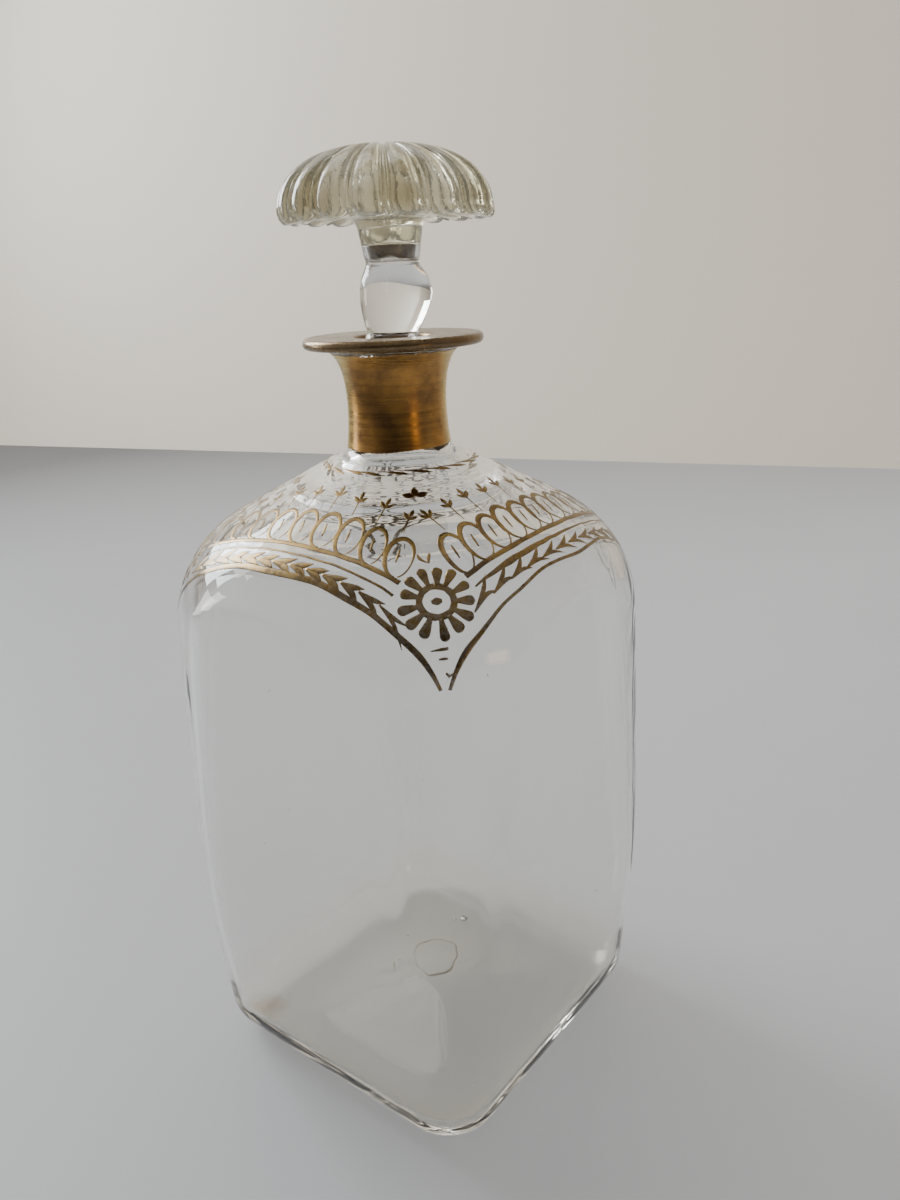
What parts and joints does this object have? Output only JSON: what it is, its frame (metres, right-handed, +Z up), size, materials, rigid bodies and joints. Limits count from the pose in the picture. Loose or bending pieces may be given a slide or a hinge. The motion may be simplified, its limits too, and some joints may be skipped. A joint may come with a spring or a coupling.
{
  "type": "perfume bottle",
  "caption": "Square blown-glass perfume bottle with domed shoulder, gilded neck, lip and shoulder ornament, and a lift-out glass stopper with a fluted mushroom finial.",
  "frame": {"origin": "centre of the foot, on the surface that the bottle stands on", "axes": "+Z up through the neck and stopper; +X and +Y square to two of the four flat sides, so the corners lie on the diagonals"},
  "size_m": [0.0832, 0.0832, 0.1819],
  "materials": {
    "bottle_glass": "clear blown glass with a faint grey-green cast, fine waves and a few seeds",
    "finial_glass": "moulded glass with a slight yellow-olive cast and a satin, uneven surface",
    "knop_glass": "clear fire-polished glass; the hidden shank is ground",
    "gilding": "fired liquid gold painted by hand, burnished on the neck and lip, rubbed and thin in places",
    "cement": "dark brown aged cement seen through glass"
  },
  "bodies": {
    "bottle": {"bottle": "bottle_glass", "neck_gilding": "gilding", "lip_gilding": "gilding", "lower_border_1": "gilding", "upper_border_1": "gilding", "corner_daisy_1": "gilding", "lower_border_2": "gilding", "upper_border_2": "gilding", "corner_daisy_2": "gilding", "lower_border_3": "gilding", "upper_border_3": "gilding", "corner_daisy_3": "gilding", "lower_border_4": "gilding", "upper_border_4": "gilding", "corner_daisy_4": "gilding"},
    "stopper_seat": {"stopper_ring": "cement"},
    "stopper": {"stopper_finial": "finial_glass", "stopper_knop": "knop_glass"}
  },
  "joints": [
    {"name": "stopper_lift", "type": "slide", "parent": "bottle", "child": "stopper_seat", "axis": [0, 0, 1], "range_m": [0, 0.03]},
    {"name": "stopper_turn", "type": "hinge", "parent": "stopper_seat", "child": "stopper", "pos_m": [0, 0, 0.157], "axis": [0, 0, 1], "continuous": true}
  ]
}
